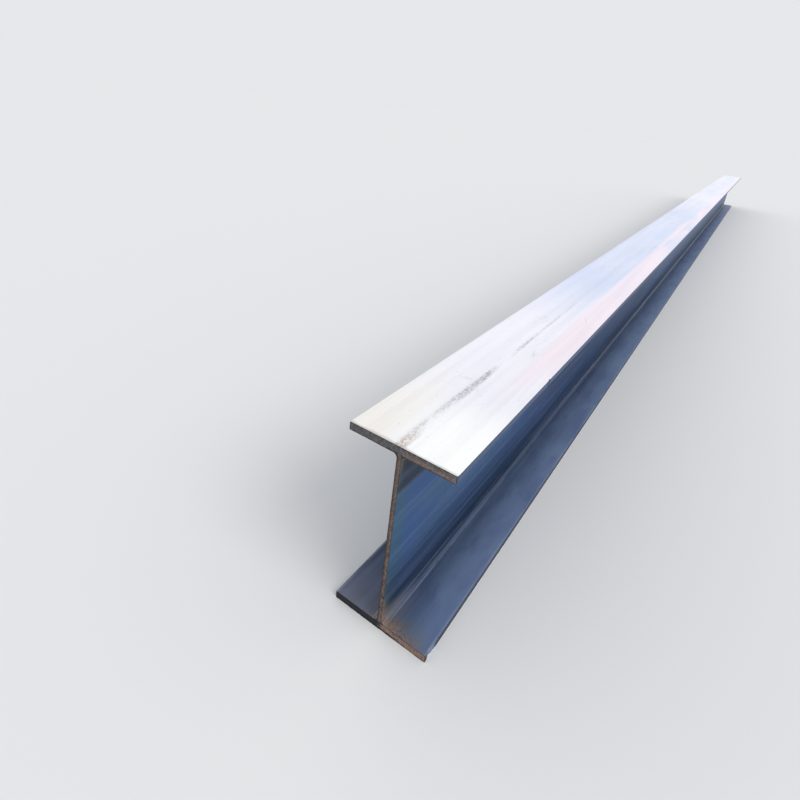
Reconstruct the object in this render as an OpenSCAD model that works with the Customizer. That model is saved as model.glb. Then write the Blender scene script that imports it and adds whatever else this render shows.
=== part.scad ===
// Rolled steel H-beam, a wide-flange section sold as straight stock.
// Millimetres. The member runs along X with mid-length at X = 0, its flanges
// are spread along Y, and its underside lies on Z = 0.

/* [Member] */
// Length of the member, sawn square at both ends
beam_length = 12000; // [1000:100:18000]

/* [Section] */
// Depth of the section, over the outer faces of the two flanges
section_depth = 594; // [400:1:900]
// Width of each flange, from toe to toe
flange_width = 302; // [150:1:450]
// Thickness of each flange
flange_thickness = 23; // [8:0.5:40]
// Thickness of the web
web_thickness = 14; // [6:0.5:30]

/* [Rounding] */
// Radius of the fillet where the web meets a flange
root_radius = 13; // [5:0.5:30]
// Radius on the long edges of the flange toes
toe_radius = 2; // [0.5:0.5:3]

/* [Hidden] */
$fn = 96;

// Half the width of the metal at a root, out to where the fillets run out
root_half_width = web_thickness / 2 + root_radius;
// Height of the fillets' centres over the outer face of their flange
root_height = flange_thickness + root_radius;

// One flange in section: outer face on Y = 0, with its four edges rounded.
module flange_outline() {
    half_width = flange_width / 2;
    translate([-half_width + toe_radius, 0])
        square([flange_width - 2 * toe_radius, flange_thickness]);
    translate([-half_width, toe_radius])
        square([flange_width, flange_thickness - 2 * toe_radius]);
    for (side = [-1, 1], height = [toe_radius, flange_thickness - toe_radius])
        translate([side * (half_width - toe_radius), height])
            circle(r = toe_radius);
}

// The metal between a flange and the web, hollowed by the two root fillets.
module root_outline() {
    difference() {
        translate([-root_half_width, 0])
            square([2 * root_half_width, root_height]);
        for (side = [-1, 1])
            translate([side * root_half_width, root_height])
                circle(r = root_radius);
    }
}

// A flange with its root, standing on Y = 0.
module flange_and_root_outline() {
    flange_outline();
    root_outline();
}

// The whole section: two flanges joined by the web.
module section_outline() {
    flange_and_root_outline();
    translate([0, section_depth])
        mirror([0, 1])
            flange_and_root_outline();
    translate([-web_thickness / 2, flange_thickness])
        square([web_thickness, section_depth - 2 * flange_thickness]);
}

// The member, rolled in one piece along its length.
module h_beam() {
    color("slategray")
        translate([-beam_length / 2, 0, 0])
            rotate([90, 0, 90])
                linear_extrude(height = beam_length)
                    section_outline();
}

h_beam();
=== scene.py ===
"""A hot-rolled steel H-beam, twelve metres of wide-flange stock, lying on a pale studio floor.

The member runs along X with mid-length at the origin, its flanges spread along Y and its underside
on Z = 0. One watertight mesh stands for the rolled piece. Its skin carries blue-grey mill scale,
its outer faces are scuffed pale, and its two ends are sawn and lightly rusted. Some shade, a
highlight along the roots and some glare and reflections of the sky are painted into its colours.
"""

import logging
import math
from dataclasses import asdict, dataclass, field
from enum import Enum, IntEnum

import bpy
import numpy as np
from mathutils import Matrix, Vector


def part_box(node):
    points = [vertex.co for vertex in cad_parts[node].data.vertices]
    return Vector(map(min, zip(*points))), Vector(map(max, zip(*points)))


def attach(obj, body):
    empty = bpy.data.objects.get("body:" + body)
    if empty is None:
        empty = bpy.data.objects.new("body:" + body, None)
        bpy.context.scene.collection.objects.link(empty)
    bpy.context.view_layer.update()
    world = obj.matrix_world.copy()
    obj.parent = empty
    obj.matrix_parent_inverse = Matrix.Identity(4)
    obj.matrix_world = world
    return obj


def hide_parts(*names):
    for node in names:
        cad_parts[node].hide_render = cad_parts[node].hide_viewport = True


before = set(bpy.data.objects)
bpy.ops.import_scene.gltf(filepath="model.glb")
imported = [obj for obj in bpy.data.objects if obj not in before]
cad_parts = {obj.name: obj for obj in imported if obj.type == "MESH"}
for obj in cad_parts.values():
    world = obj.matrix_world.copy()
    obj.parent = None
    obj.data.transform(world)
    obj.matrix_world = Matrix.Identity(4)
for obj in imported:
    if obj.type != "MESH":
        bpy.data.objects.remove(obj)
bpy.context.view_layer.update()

log = logging.getLogger("h_beam_scene")

NODE = "h_beam"
BODY = "root"
MM = 0.001

Color = tuple[float, float, float]
Feed = object  # a node socket, a number, or a tuple of numbers


class Skin(IntEnum):
    """The material slots of the member's mesh."""

    CHANNEL = 0
    OUTER = 1
    SAWN = 2


class End(Enum):
    """The two sawn ends, by the direction that each one faces."""

    NEAR = -1
    FAR = 1


# ---------------------------------------------------------------------------
# The rolled section
# ---------------------------------------------------------------------------


@dataclass(frozen=True)
class Section:
    """The rolled section in the YZ plane, and how finely its outline is divided.

    The outline is built as a quarter, from the middle of the underside round the toe and the root
    to mid-height of the web, and mirrored into a closed ring.
    """

    depth: float
    width: float
    flange: float = 23 * MM
    web: float = 14 * MM
    root: float = 13 * MM
    toe: float = 2 * MM
    lip: float = 1.5 * MM
    toe_steps: int = 3
    toe_flat_steps: int = 3
    root_steps: int = 6
    flat_steps: int = 7
    web_steps: int = 16
    across_web: int = 4

    @property
    def root_reach(self) -> float:
        """Half the width of the metal where the root fillets run out on the flange."""
        return self.web / 2 + self.root

    def spaced(self, start: float, stop: float, steps: int) -> list[float]:
        """Divides a flat evenly, with one extra point close to each end to hold the shading flat.

        Args:
            start: Where the flat begins.
            stop: Where it ends.
            steps: How many even divisions lie between the two extra points.

        Returns:
            The places from start to stop, both included.
        """
        lip = math.copysign(self.lip, stop - start)
        inner = np.linspace(start + lip, stop - lip, steps + 1)
        return [start, *inner.tolist(), stop]

    def flat_places(self) -> list[float]:
        """Distances from the middle of the web along a flange's flat, from root to toe."""
        return self.spaced(self.root_reach, self.width / 2 - self.toe, self.flat_steps)

    def toe_heights(self) -> list[tuple[float, float]]:
        """Draws the toe's outline.

        Returns:
            Its (Y, Z) points, from the outer face round to the inner one.
        """
        turns = [math.pi / 2 * i / self.toe_steps for i in range(self.toe_steps + 1)]
        side, low, high = self.width / 2 - self.toe, self.toe, self.flange - self.toe
        lower = [(side + self.toe * math.sin(t), low - self.toe * math.cos(t)) for t in turns]
        rise = np.linspace(low, high, self.toe_flat_steps + 1)[1:-1]
        flat = [(self.width / 2, float(z)) for z in rise]
        upper = [(side + self.toe * math.cos(t), high + self.toe * math.sin(t)) for t in turns]
        return lower + flat + upper

    def root_arc(self) -> list[tuple[float, float]]:
        """Draws the root fillet.

        Returns:
            Its (Y, Z) points, from the flange's inner face to the web.
        """
        turns = [math.pi / 2 * i / self.root_steps for i in range(self.root_steps + 1)]
        centre = self.flange + self.root
        return [
            (self.root_reach - self.root * math.sin(t), centre - self.root * math.cos(t))
            for t in turns
        ]

    def quarter(self) -> list[tuple[float, float]]:
        """Draws the outline's quarter.

        Returns:
            Its (Y, Z) points, from the middle of the underside to mid-height of the web.
        """
        half = self.across_web // 2
        under = [(self.root_reach * i / half, 0.0) for i in range(half)]
        under += [(y, 0.0) for y in self.flat_places()[:-1]]
        inner = [(y, self.flange) for y in reversed(self.flat_places()[1:-1])]
        heights = self.spaced(self.flange + self.root, self.depth / 2, self.web_steps // 2)
        side = [(self.web / 2, z) for z in heights[1:-2] + heights[-1:]]
        return under + self.toe_heights() + inner + self.root_arc() + side

    def ring(self) -> np.ndarray:
        """The closed outline, seen from -X it runs from the underside towards +Y first.

        Returns:
            An (n, 2) array of Y and Z, with the first point not repeated at the end.
        """
        lower = self.quarter()
        upper = [(y, self.depth - z) for y, z in reversed(lower[:-1])]
        plus = lower + upper
        minus = [(-y, z) for y, z in reversed(plus[1:-1])]
        return np.array(plus + minus)

    def end_cells(self) -> list[list[tuple[float, float]]]:
        """Splits the sawn face into cells whose outer corners are the ring's own points.

        Returns:
            Cells of three or four (Y, Z) corners, covering the whole face.
        """
        toe = self.toe_heights()
        half = self.across_web // 2
        inside = [self.root_reach * i / half for i in range(-half, half + 1)]
        flats = self.flat_places()[1:]
        columns = [-y for y in reversed(flats)] + inside + flats
        cells = []
        for left, right in zip(columns, columns[1:]):
            for (_, low), (_, high) in zip(toe, toe[1:]):
                cells.append([(left, low), (right, low), (right, high), (left, high)])
        side = self.width / 2 - self.toe
        for (y0, z0), (y1, z1) in zip(toe, toe[1:]):
            cells.append([(side, z0), (y0, z0), (y1, z1), (side, z1)])
            cells.append([(-y0, z0), (-side, z0), (-side, z1), (-y1, z1)])
        rungs = self.quarter()
        rungs = rungs[rungs.index(self.root_arc()[0]):]
        for (y0, z0), (y1, z1) in zip(rungs, rungs[1:]):
            for i in range(self.across_web):
                a, b = 2 * i / self.across_web - 1, 2 * (i + 1) / self.across_web - 1
                cells.append([(y0 * a, z0), (y0 * b, z0), (y1 * b, z1), (y1 * a, z1)])
        cells += [[(y, self.depth - z) for y, z in reversed(cell)] for cell in cells]
        return cells


# ---------------------------------------------------------------------------
# Relief left by rolling, handling and sawing
# ---------------------------------------------------------------------------


@dataclass(frozen=True)
class Ripple:
    """A smooth, seeded, wandering value along the member, between -1 and 1."""

    seed: int
    longest: float
    octaves: int = 4

    def at(self, x: np.ndarray, drift: np.ndarray | float = 0.0) -> np.ndarray:
        """Reads the value.

        Args:
            x: Places along the member, in metres.
            drift: A phase that varies over the section, in radians.

        Returns:
            The value at each place.
        """
        rng = np.random.default_rng(self.seed)
        total, weight = 0.0, 0.0
        for octave in range(self.octaves):
            length = self.longest / 2**octave * rng.uniform(0.85, 1.15)
            share = 0.6**octave
            total = total + share * np.sin(2 * np.pi * x / length + rng.uniform(0, 7) + drift)
            weight += share
        return total / weight


@dataclass(frozen=True)
class Nick:
    """A small knock in a flange's toe, from slings, forks and other stock."""

    x: float
    side: int
    upper: bool
    reach: float
    depth: float


@dataclass(frozen=True)
class Relief:
    """How far the real surfaces stray from the drawn ones. Everything stays inside the drawn box."""

    section: Section
    half_length: float
    web_bow: float = 0.8 * MM
    bow_length: float = 2.4
    flange_droop: float = 0.5 * MM
    droop_length: float = 3.1
    droop_curve: float = 1.6
    skin_wave: float = 0.12 * MM
    skin_length: float = 0.55
    toe_wave: float = 0.45 * MM
    toe_length: float = 1.3
    saw_wave: float = 0.22 * MM
    saw_set_back: float = 1.3 * MM
    feed_length: float = 0.021
    step_share: float = 0.42
    step_slope: float = 0.2
    step_width: float = 12 * MM
    burr_width: float = 0.9 * MM
    burr_length: float = 0.043
    nick_count: int = 14
    seed: int = 31

    def nicks(self) -> list[Nick]:
        """Scatters knocks along the toes, and bruises the corners by the near end.

        Returns:
            The knocks.
        """
        rng = np.random.default_rng(self.seed)
        found = []
        for _ in range(self.nick_count):
            found.append(
                Nick(
                    x=float(rng.uniform(-0.98, 0.98)) * self.half_length,
                    side=int(rng.choice([-1, 1])),
                    upper=bool(rng.random() < 0.6),
                    reach=float(rng.uniform(5, 13)) * MM,
                    depth=float(rng.uniform(0.8, 2.2)) * MM,
                )
            )
        end = -self.half_length
        found.append(Nick(x=end + 22 * MM, side=-1, upper=False, reach=9 * MM, depth=4.2 * MM))
        found.append(Nick(x=end + 38 * MM, side=-1, upper=False, reach=14 * MM, depth=2.0 * MM))
        found.append(Nick(x=end + 2 * MM, side=-1, upper=True, reach=4 * MM, depth=2.0 * MM))
        return found

    def apply(self, points: np.ndarray) -> np.ndarray:
        """Moves the skin's points off their drawn places.

        Args:
            points: An (n, 3) array on the drawn surface.

        Returns:
            The moved points, all inside the drawn box.
        """
        s = self.section
        x, y, z = points.T.copy()
        middle = s.depth / 2
        upper = z > middle
        from_outer = np.where(upper, s.depth - z, z)
        in_web = np.clip((from_outer - s.flange) / s.root, 0, 1)
        belly = np.sin(np.pi * np.clip((z - s.flange) / (s.depth - 2 * s.flange), 0, 1))
        bow = Ripple(self.seed + 1, self.bow_length).at(x, 1.7 * z / s.depth)
        new_y = y + in_web * belly * self.web_bow * bow

        out = np.clip((np.abs(y) - s.root_reach) / (s.width / 2 - s.root_reach), 0, 1)
        for is_upper, inward in ((True, -1.0), (False, 1.0)):
            for side in (-1, 1):
                chosen = (upper == is_upper) & (np.sign(y) == side)
                seed = self.seed + 10 + 2 * is_upper + (side > 0)
                lift = 0.5 + 0.5 * Ripple(seed, self.droop_length).at(x)
                z = z + chosen * inward * out**self.droop_curve * self.flange_droop * lift
        skin = 0.5 + 0.5 * Ripple(self.seed + 20, self.skin_length, 3).at(x, 26.0 * y)
        flat = (from_outer < s.flange / 2) & (out < 0.999)
        z = z + np.where(upper, -1.0, 1.0) * flat * self.skin_wave * skin

        at_toe = np.clip((np.abs(y) - (s.width / 2 - 3 * s.toe)) / (3 * s.toe), 0, 1)
        for side in (-1, 1):
            for is_upper in (True, False):
                chosen = (np.sign(y) == side) & (upper == is_upper)
                seed = self.seed + 30 + 2 * is_upper + (side > 0)
                wander = 0.5 + 0.5 * Ripple(seed, self.toe_length, 6).at(x)
                new_y = new_y - side * chosen * at_toe * self.toe_wave * wander
        for nick in self.nicks():
            chosen = (np.sign(y) == nick.side) & (upper == nick.upper)
            bite = nick.depth * np.exp(-(((x - nick.x) / nick.reach) ** 2) * 1.5)
            new_y = new_y - nick.side * chosen * at_toe * bite
        return np.stack([x, new_y, z], axis=1)

    def saw(self, y: np.ndarray, z: np.ndarray, end: End) -> np.ndarray:
        """How far each point of a sawn end lies behind the drawn end plane.

        The blade leaves fine feed lines and one shallow step, and a wire of burr stands up along
        the edges where it broke through: the lower edge of each flange and one side of the web.

        Args:
            y: Places across the flanges.
            z: Heights.
            end: Which end.

        Returns:
            The set-back in metres, never negative.
        """
        s = self.section
        seed = self.seed + (60 if end is End.NEAR else 70)
        feed = 0.5 + 0.5 * Ripple(seed, self.feed_length, 3).at(z + 0.35 * y)
        over_step = z - self.step_share * s.depth + self.step_slope * y
        step = 0.5 + 0.5 * np.tanh(over_step / self.step_width)
        set_back = self.saw_set_back - 0.5 * self.saw_wave * (feed + step)
        ragged = 0.55 + 0.45 * Ripple(seed + 1, self.burr_length, 4).at(y + z)
        in_flange = (z < s.flange + 0.1 * MM) | (z > s.depth - s.flange - 0.1 * MM)
        low_edge = np.where(z > s.depth / 2, z - (s.depth - s.flange), z)
        off_web = np.abs(y) > s.root_reach - 0.1 * MM
        flange_burr = in_flange * np.exp(-((low_edge / self.burr_width) ** 2))
        flange_burr *= np.where(z > s.depth / 2, off_web, 1.0)
        web_burr = ~in_flange * np.exp(-(((y + s.web / 2) / self.burr_width) ** 2))
        crest = np.clip(flange_burr + 0.6 * web_burr, 0, 1) * ragged
        return np.clip(set_back * (1 - crest), 0.0, None)


# ---------------------------------------------------------------------------
# The mesh of the member
# ---------------------------------------------------------------------------


@dataclass(frozen=True)
class UnrolledMap:
    """Lays the member's skin flat in the unit square, with most room for the near end.

    The first stretch behind the near end lies across the square at the top. The rest is cut into
    equal rows that run along the square, and the two sawn faces lie between them.
    """

    girth: float
    half_length: float
    near_length: float = 0.8
    near_share: float = 0.35
    ends_share: float = 0.1
    end_width: float = 0.49
    rows: int = 2
    gap: float = 0.004

    def skin(self, x: np.ndarray, s: np.ndarray, middle: np.ndarray) -> np.ndarray:
        """Places points of the skin.

        Args:
            x: Places along the member.
            s: Distances round the section.
            middle: For each point, the X of the middle of its face, which picks the row.

        Returns:
            An (n, 2) array of map places.
        """
        start = -self.half_length
        near = middle < start + self.near_length
        u_near = s / self.girth
        along = ((x - start) / self.near_length).clip(0, 1)
        v_near = along * (self.near_share - self.gap)
        rest = (2 * self.half_length - self.near_length) / self.rows
        row = np.floor((middle - start - self.near_length) / rest).clip(0, self.rows - 1)
        u_far = ((x - start - self.near_length - row * rest) / rest).clip(0, 1)
        height = (1 - self.near_share - self.ends_share) / self.rows
        low = self.near_share + self.ends_share + row * height
        v_far = low + s / self.girth * (height - self.gap)
        return np.stack([np.where(near, u_near, u_far), np.where(near, v_near, v_far)], axis=1)

    def sawn(self, y: np.ndarray, z: np.ndarray, section: Section, end: End) -> np.ndarray:
        """Places points of a sawn face, turned on its side.

        Args:
            y: Places across the flanges.
            z: Heights.
            section: The rolled section.
            end: Which end.

        Returns:
            An (n, 2) array of map places.
        """
        left = 0.0 if end is End.NEAR else 0.5
        u = left + self.end_width * z / section.depth
        v = self.near_share + (y / section.width + 0.5) * (self.ends_share - self.gap)
        return np.stack([u, v], axis=1)


@dataclass
class Member:
    """The rolled member: its section swept along X, with relief, and closed by two sawn faces."""

    low: Vector
    high: Vector
    finest: float = 4 * MM
    coarsest: float = 60 * MM
    growth: float = 0.03
    first_steps: tuple[float, ...] = (0.0, 2.0 * MM, 3.2 * MM, 5.0 * MM, 8.0 * MM)
    least_gap: float = 0.5 * MM
    nick_steps: int = 7
    nick_reaches: float = 1.6
    sharp_angle: float = math.radians(38)
    shading_weight: int = 80
    section: Section = field(init=False)
    relief: Relief = field(init=False)
    half_length: float = field(init=False)

    def __post_init__(self) -> None:
        """Takes the overall sizes from the frame's box."""
        self.half_length = (self.high.x - self.low.x) / 2
        self.section = Section(depth=self.high.z - self.low.z, width=self.high.y - self.low.y)
        self.relief = Relief(self.section, self.half_length)

    def stations(self) -> np.ndarray:
        """Places the rings: close together by the ends and the nicks, wide between.

        Returns:
            The rings' places along X, in rising order.
        """
        places = list(self.first_steps)
        while places[-1] < self.half_length:
            gap = min(self.finest + self.growth * places[-1], self.coarsest)
            places.append(places[-1] + gap)
        half = np.array(places) * self.half_length / places[-1]
        half[: len(self.first_steps)] = self.first_steps
        x = np.concatenate([half - self.half_length, self.half_length - half])
        for nick in self.relief.nicks():
            over = np.linspace(-self.nick_reaches, self.nick_reaches, self.nick_steps)
            x = np.concatenate([x, nick.x + nick.reach * over])
        x = np.unique(x.clip(-self.half_length, self.half_length))
        keep = np.concatenate([[True], np.diff(x) > self.least_gap])
        x = x[keep]
        x[-1] = self.half_length
        return x

    def build(self) -> bpy.types.Object:
        """Makes the mesh object, with its material slots' faces and its map.

        Returns:
            The member, not yet dressed.
        """
        ring = self.section.ring()
        x = self.stations()
        n, m = len(ring), len(x)
        skin = np.empty((m, n, 3))
        skin[:, :, 0] = x[:, None]
        skin[:, :, 1:] = ring[None]
        points = self.relief.apply(skin.reshape(-1, 3))
        step = np.arange(m - 1)[:, None] * n
        here = np.arange(n)[None]
        after = (here + 1) % n
        quads = np.stack([step + here, step + after, step + n + after, step + n + here], axis=-1)
        faces = quads.reshape(-1, 4).tolist()
        skin_faces = len(faces)
        for end, base in ((End.NEAR, 0), (End.FAR, (m - 1) * n)):
            points = self.close_end(points, faces, ring, base, end)

        mesh = bpy.data.meshes.new("rolled_member")
        mesh.from_pydata(points.tolist(), [], faces)
        mesh.update()
        mesh.shade_smooth()
        mesh.set_sharp_from_angle(angle=self.sharp_angle)
        self.assign_skins(mesh, ring, skin_faces)
        self.lay_map(mesh, ring, x)
        member = bpy.data.objects.new("rolled_h_beam", mesh)
        bpy.context.scene.collection.objects.link(member)
        weighted = member.modifiers.new("face_weighted_shading", "WEIGHTED_NORMAL")
        weighted.keep_sharp = True
        weighted.weight = self.shading_weight
        return member

    def dress(self, piece: bpy.types.Object) -> None:
        """Gives the member its finishes, in the order of the material slots.

        Args:
            piece: The member, as it was built.
        """
        fx = Effects(self.section, self.half_length)
        for finish in (ChannelSkin("channel_skin"), OuterSkin("outer_skin"), SawnSteel("sawn_steel")):
            piece.data.materials.append(finish.build(fx))

    def close_end(
        self, points: np.ndarray, faces: list[list[int]], ring: np.ndarray, base: int, end: End
    ) -> np.ndarray:
        """Closes one end with its sawn face, which stands back a little from the drawn end.

        Args:
            points: The points so far.
            faces: The faces so far, to which the sawn face's own are added.
            ring: The section's outline.
            base: Where the ring of points at this end begins.
            end: Which end.

        Returns:
            The points, with the sawn face's own added.
        """
        keys = {self.key(y, z): base + i for i, (y, z) in enumerate(ring)}
        added: list[tuple[float, float, float]] = []
        for cell in self.section.end_cells():
            corners: list[int] = []
            for y, z in cell:
                key = self.key(y, z)
                if key not in keys:
                    keys[key] = len(points) + len(added)
                    added.append((end.value * self.half_length, y, z))
                if keys[key] not in corners:
                    corners.append(keys[key])
            faces.append(corners if end is End.FAR else corners[::-1])
        points = np.concatenate([points, self.relief.apply(np.array(added))])
        on_face = np.array(list(keys.values()))
        back = self.relief.saw(points[on_face, 1], points[on_face, 2], end)
        points[on_face, 0] -= end.value * back
        return points

    @staticmethod
    def key(y: float, z: float) -> tuple[int, int]:
        """A place on the section in whole hundredths of a micrometre, to find shared corners."""
        return round(y * 1e8), round(z * 1e8)

    def assign_skins(self, mesh: bpy.types.Mesh, ring: np.ndarray, skin_faces: int) -> None:
        """Gives each face its material slot.

        Args:
            mesh: The member's mesh.
            ring: The section's outline.
            skin_faces: How many faces, from the first, belong to the rolled skin.
        """
        n = len(ring)
        middle = (ring + np.roll(ring, -1, axis=0)) / 2
        from_outer = np.minimum(middle[:, 1], self.section.depth - middle[:, 1])
        outer = from_outer < self.section.toe * 0.6
        slots = np.full(len(mesh.polygons), int(Skin.SAWN), dtype=np.int32)
        per_ring = np.where(outer, int(Skin.OUTER), int(Skin.CHANNEL))
        slots[:skin_faces] = np.tile(per_ring, skin_faces // n)
        mesh.polygons.foreach_set("material_index", slots)

    def lay_map(self, mesh: bpy.types.Mesh, ring: np.ndarray, x: np.ndarray) -> None:
        """Writes the unrolled map.

        Args:
            mesh: The member's mesh.
            ring: The section's outline.
            x: The stations along the member.
        """
        n, m = len(ring), len(x)
        around = np.linalg.norm(np.roll(ring, -1, axis=0) - ring, axis=1)
        s = np.concatenate([[0.0], np.cumsum(around)])
        unrolled = UnrolledMap(girth=float(s[-1]), half_length=self.half_length)
        i, j = np.meshgrid(np.arange(m - 1), np.arange(n), indexing="ij")
        corner_x = np.stack([x[i], x[i], x[i + 1], x[i + 1]], axis=-1).reshape(-1)
        corner_s = np.stack([s[j], s[j + 1], s[j + 1], s[j]], axis=-1).reshape(-1)
        middle = np.repeat(((x[i] + x[i + 1]) / 2).reshape(-1), 4)
        places = [unrolled.skin(corner_x, corner_s, middle)]
        corners = np.empty(len(mesh.loops), dtype=np.int32)
        mesh.loops.foreach_get("vertex_index", corners)
        co = np.empty(len(mesh.vertices) * 3)
        mesh.vertices.foreach_get("co", co)
        rest = co.reshape(-1, 3)[corners[len(corner_x):]]
        for end in End:
            chosen = rest[np.sign(rest[:, 0]) == end.value]
            places.append(unrolled.sawn(chosen[:, 1], chosen[:, 2], self.section, end))
        uv = mesh.uv_layers.new(name="OFBake")
        uv.data.foreach_set("uv", np.concatenate(places).astype(np.float32).reshape(-1))


# ---------------------------------------------------------------------------
# Shader graphs
# ---------------------------------------------------------------------------


def paint(red: int, green: int, blue: int) -> Color:
    """Turns a colour as seen on a chart into the linear values that shaders use.

    Args:
        red: The chart's red, 0 to 255.
        green: Its green.
        blue: Its blue.

    Returns:
        The linear colour.
    """
    shares = (channel / 255 for channel in (red, green, blue))
    return tuple(c / 12.92 if c <= 0.04045 else ((c + 0.055) / 1.055) ** 2.4 for c in shares)


class Graph:
    """Places nodes in one tree and wires them together."""

    def __init__(self, tree: bpy.types.NodeTree) -> None:
        """Starts on a tree, which may hold nodes already."""
        self.tree = tree

    def node(self, kind: str, **settings: object) -> bpy.types.Node:
        """Adds a node and sets its properties.

        Args:
            kind: The node's kind, such as TexNoise.
            settings: Its properties by name.

        Returns:
            The node.
        """
        made = self.tree.nodes.new("ShaderNode" + kind)
        for name, value in settings.items():
            setattr(made, name, value)
        return made

    def feed(self, socket: bpy.types.NodeSocket, value: Feed) -> None:
        """Links a socket to an input, or sets the input's own value.

        Args:
            socket: The input.
            value: What it is fed with. A colour may have three numbers.
        """
        if isinstance(value, bpy.types.NodeSocket):
            self.tree.links.new(value, socket)
        elif isinstance(value, tuple) and socket.type == "RGBA" and len(value) == 3:
            socket.default_value = (*value, 1.0)
        else:
            socket.default_value = value

    def math(self, operation: str, *values: Feed, clamp: bool = False) -> bpy.types.NodeSocket:
        """Works out one number from up to three others.

        Args:
            operation: What is done with them, such as ADD.
            values: The numbers.
            clamp: Whether the result is kept between 0 and 1.

        Returns:
            The result.
        """
        made = self.node("Math", operation=operation, use_clamp=clamp)
        for socket, value in zip(made.inputs, values):
            self.feed(socket, value)
        return made.outputs[0]

    def times(self, first: Feed, second: Feed, clamp: bool = False) -> bpy.types.NodeSocket:
        """Multiplies two numbers."""
        return self.math("MULTIPLY", first, second, clamp=clamp)

    def less(self, first: Feed, second: Feed) -> bpy.types.NodeSocket:
        """The first number less the second."""
        return self.math("SUBTRACT", first, second)

    def most(self, first: Feed, second: Feed) -> bpy.types.NodeSocket:
        """The larger of two numbers."""
        return self.math("MAXIMUM", first, second)

    def least(self, first: Feed, second: Feed) -> bpy.types.NodeSocket:
        """The smaller of two numbers."""
        return self.math("MINIMUM", first, second)

    def off(self, value: Feed, middle: Feed = 0.0) -> bpy.types.NodeSocket:
        """How far a number lies from a middle, on either side of it."""
        return self.math("ABSOLUTE", self.less(value, middle))

    def line(
        self, value: Feed, slope: Feed, start: Feed, clamp: bool = False
    ) -> bpy.types.NodeSocket:
        """A number on a straight line: the value times the slope, added to the start."""
        return self.math("MULTIPLY_ADD", value, slope, start, clamp=clamp)

    def fade(
        self, value: Feed, start: Feed, stop: Feed, low: float = 0.0, high: float = 1.0
    ) -> bpy.types.NodeSocket:
        """Goes smoothly from low to high as a value goes from start to stop.

        Args:
            value: The number that is read.
            start: Where the result is still low.
            stop: Where it has reached high. It may lie below start.
            low: The result before start.
            high: The result after stop.

        Returns:
            The faded number.
        """
        made = self.node("MapRange", interpolation_type="SMOOTHSTEP")
        for name, item in zip(
            ("Value", "From Min", "From Max", "To Min", "To Max"), (value, start, stop, low, high)
        ):
            self.feed(made.inputs[name], item)
        return made.outputs["Result"]

    def stretched(self, place: Feed, along: Feed, across: Feed = 1.0, seed: float = 0.0) -> Feed:
        """Scales a place by one factor along the member and another across it.

        Args:
            place: The place in metres.
            along: The factor on X.
            across: The factor on Y and Z.
            seed: Moves the pattern elsewhere.

        Returns:
            The scaled place.
        """
        factors = self.node("CombineXYZ")
        for socket, value in zip(factors.inputs, (along, across, across)):
            self.feed(socket, value)
        made = self.node("VectorMath", operation="MULTIPLY_ADD")
        for socket, value in zip(made.inputs, (place, factors.outputs[0], (seed, seed * 1.7, -seed))):
            self.feed(socket, value)
        return made.outputs[0]

    def noise(
        self, place: Feed, scale: Feed, detail: float = 3.0, rough: float = 0.5, warp: float = 0.0
    ) -> bpy.types.NodeSocket:
        """Reads cloudy noise, near 0.5 on average, at a place.

        Args:
            place: The place in metres, perhaps stretched.
            scale: How fine the noise is.
            detail: How many finer layers it has.
            rough: How strong those layers are.
            warp: How much it is bent.

        Returns:
            The noise.
        """
        made = self.node("TexNoise")
        for name, value in zip(
            ("Vector", "Scale", "Detail", "Roughness", "Distortion"),
            (place, scale, detail, rough, warp),
        ):
            self.feed(made.inputs[name], value)
        return made.outputs["Fac"]

    def mix(self, factor: Feed, first: Feed, second: Feed) -> Feed:
        """Blends two colours.

        Args:
            factor: How much of the second there is, 0 to 1.
            first: The colour at 0.
            second: The colour at 1.

        Returns:
            The blend.
        """
        made = self.node("Mix", data_type="RGBA")
        for index, value in ((0, factor), (6, first), (7, second)):
            self.feed(made.inputs[index], value)
        return made.outputs[2]

    def ramp(self, factor: Feed, *stops: tuple[float, Color]) -> bpy.types.NodeSocket:
        """Turns a number into a colour along a ramp of stops.

        Args:
            factor: The number, 0 to 1.
            stops: Each stop's place on the ramp and its colour.

        Returns:
            The colour.
        """
        made = self.node("ValToRGB")
        self.feed(made.inputs[0], factor)
        band = made.color_ramp
        while len(band.elements) < len(stops):
            band.elements.new(0.5)
        for element, (at, color) in zip(band.elements, stops):
            element.position = at
            element.color = (*color, 1.0)
        return made.outputs[0]

    def split(self, place: Feed) -> tuple[Feed, Feed, Feed]:
        """Takes a place apart.

        Args:
            place: The place.

        Returns:
            Its X, Y and Z.
        """
        made = self.node("SeparateXYZ")
        self.feed(made.inputs[0], place)
        return made.outputs[0], made.outputs[1], made.outputs[2]

    def use(self, group: bpy.types.NodeTree, **values: Feed) -> dict[str, bpy.types.NodeSocket]:
        """Places a node group.

        Args:
            group: The group's tree.
            values: What feeds each input.

        Returns:
            The group's outputs by name.
        """
        made = self.node("Group", node_tree=group)
        for name, value in values.items():
            self.feed(made.inputs[name], value)
        return {socket.name: socket for socket in made.outputs}


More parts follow.
